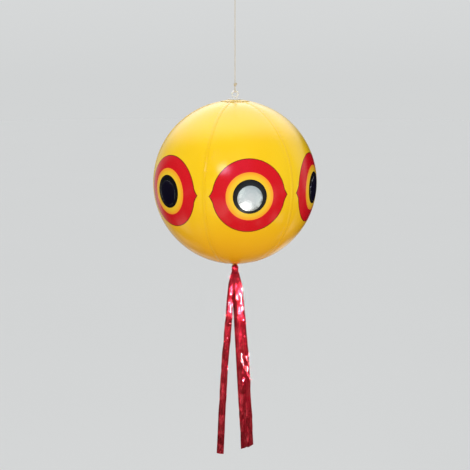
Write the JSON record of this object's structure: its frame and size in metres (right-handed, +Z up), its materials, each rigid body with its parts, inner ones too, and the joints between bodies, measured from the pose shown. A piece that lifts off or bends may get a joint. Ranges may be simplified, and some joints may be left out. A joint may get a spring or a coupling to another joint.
{
  "type": "bird scare balloon",
  "caption": "Hanging inflatable bird scarer: a round vinyl ball printed with ringed eyes that have mirror foil pupils, on a cord, with red foil streamers below it.",
  "frame": {"origin": "the hang point, at the inner top of the cord's loop", "axes": "+Z up along the cord, -Y the way the front eye faces, +X to the right of a viewer who faces that eye"},
  "size_m": [0.4, 0.3998, 1.2546],
  "materials": {
    "vinyl": "glossy yellow vinyl film, with eyes printed in red, orange, yellow and black",
    "mirror_foil": "mirror-bright metallised film",
    "tab": "satin off-white moulded vinyl",
    "valve": "soft translucent vinyl",
    "cord": "cream twisted cord",
    "ribbon": "red metallised film, crinkled"
  },
  "bodies": {
    "hanger": {"hang_loop": "cord"},
    "upper_knot": {"top_knot": "cord"},
    "cord": {"cord": "cord"},
    "lower_loop": {"ring_knot": "cord", "ring_loop": "cord"},
    "ball": {"gore_front": "vinyl", "gore_front_right": "vinyl", "gore_back_right": "vinyl", "gore_back": "vinyl", "gore_back_left": "vinyl", "gore_front_left": "vinyl", "top_cap": "vinyl", "bottom_cap": "vinyl", "hang_tab": "tab", "tail_tab": "tab", "pupil_front": "mirror_foil", "pupil_front_right": "mirror_foil", "pupil_back_right": "mirror_foil", "pupil_back": "mirror_foil", "pupil_back_left": "mirror_foil", "pupil_front_left": "mirror_foil", "valve_base": "valve", "tail_loop": "ribbon"},
    "valve_neck": {"valve_stem": "valve"},
    "valve_bung": {"valve_plug": "valve", "valve_tether": "valve"},
    "valve_flap": {"valve_flap": "valve"},
    "tail": {"tail_knot": "ribbon"},
    "streamer_left": {"streamer_left": "ribbon"},
    "streamer_middle": {"streamer_middle": "ribbon"},
    "streamer_right": {"streamer_right": "ribbon"}
  },
  "joints": [
    {"name": "swing_front_back", "type": "hinge", "parent": "hanger", "child": "upper_knot", "pos_m": [0, 0, -0.0585], "axis": [1, 0, 0], "range_deg": [-30, 30]},
    {"name": "swing_side", "type": "hinge", "parent": "upper_knot", "child": "cord", "pos_m": [0, 0, -0.0615], "axis": [0, 1, 0], "range_deg": [-30, 30]},
    {"name": "spin", "type": "hinge", "parent": "cord", "child": "lower_loop", "pos_m": [0, 0, -0.2706], "axis": [0, 0, 1], "continuous": true},
    {"name": "ball_tilt", "type": "hinge", "parent": "lower_loop", "child": "ball", "pos_m": [0, 0, -0.2896], "axis": [1, 0, 0], "range_deg": [-25, 25]},
    {"name": "valve_push", "type": "slide", "parent": "ball", "child": "valve_neck", "axis": [0, 0.6691, 0.7431], "range_m": [0, 0.012]},
    {"name": "bung_pull", "type": "slide", "parent": "valve_neck", "child": "valve_bung", "axis": [0, 0.6691, 0.7431], "range_m": [0, 0.009]},
    {"name": "flap_open", "type": "hinge", "parent": "valve_neck", "child": "valve_flap", "pos_m": [0, 0.11964, -0.3712], "axis": [-1, 0, 0], "range_deg": [0, 60], "stiffness_Nm_per_rad": 0.00005},
    {"name": "tail_swing", "type": "hinge", "parent": "ball", "child": "tail", "pos_m": [0, 0, -0.7319], "axis": [1, 0, 0], "range_deg": [-50, 50]},
    {"name": "streamer_left_splay", "type": "hinge", "parent": "tail", "child": "streamer_left", "pos_m": [-0.003, 0, -0.7432], "axis": [0, 1, 0], "range_deg": [-6, 35], "stiffness_Nm_per_rad": 0.005, "springref_deg": 6.82},
    {"name": "streamer_middle_lift", "type": "hinge", "parent": "tail", "child": "streamer_middle", "pos_m": [0.0005, -0.0016, -0.7374], "axis": [1, 0, 0], "range_deg": [-40, 0]},
    {"name": "streamer_right_splay", "type": "hinge", "parent": "tail", "child": "streamer_right", "pos_m": [0.003, 0.0016, -0.7432], "axis": [0, 1, 0], "range_deg": [-35, 6], "stiffness_Nm_per_rad": 0.005, "springref_deg": -7.16}
  ]
}
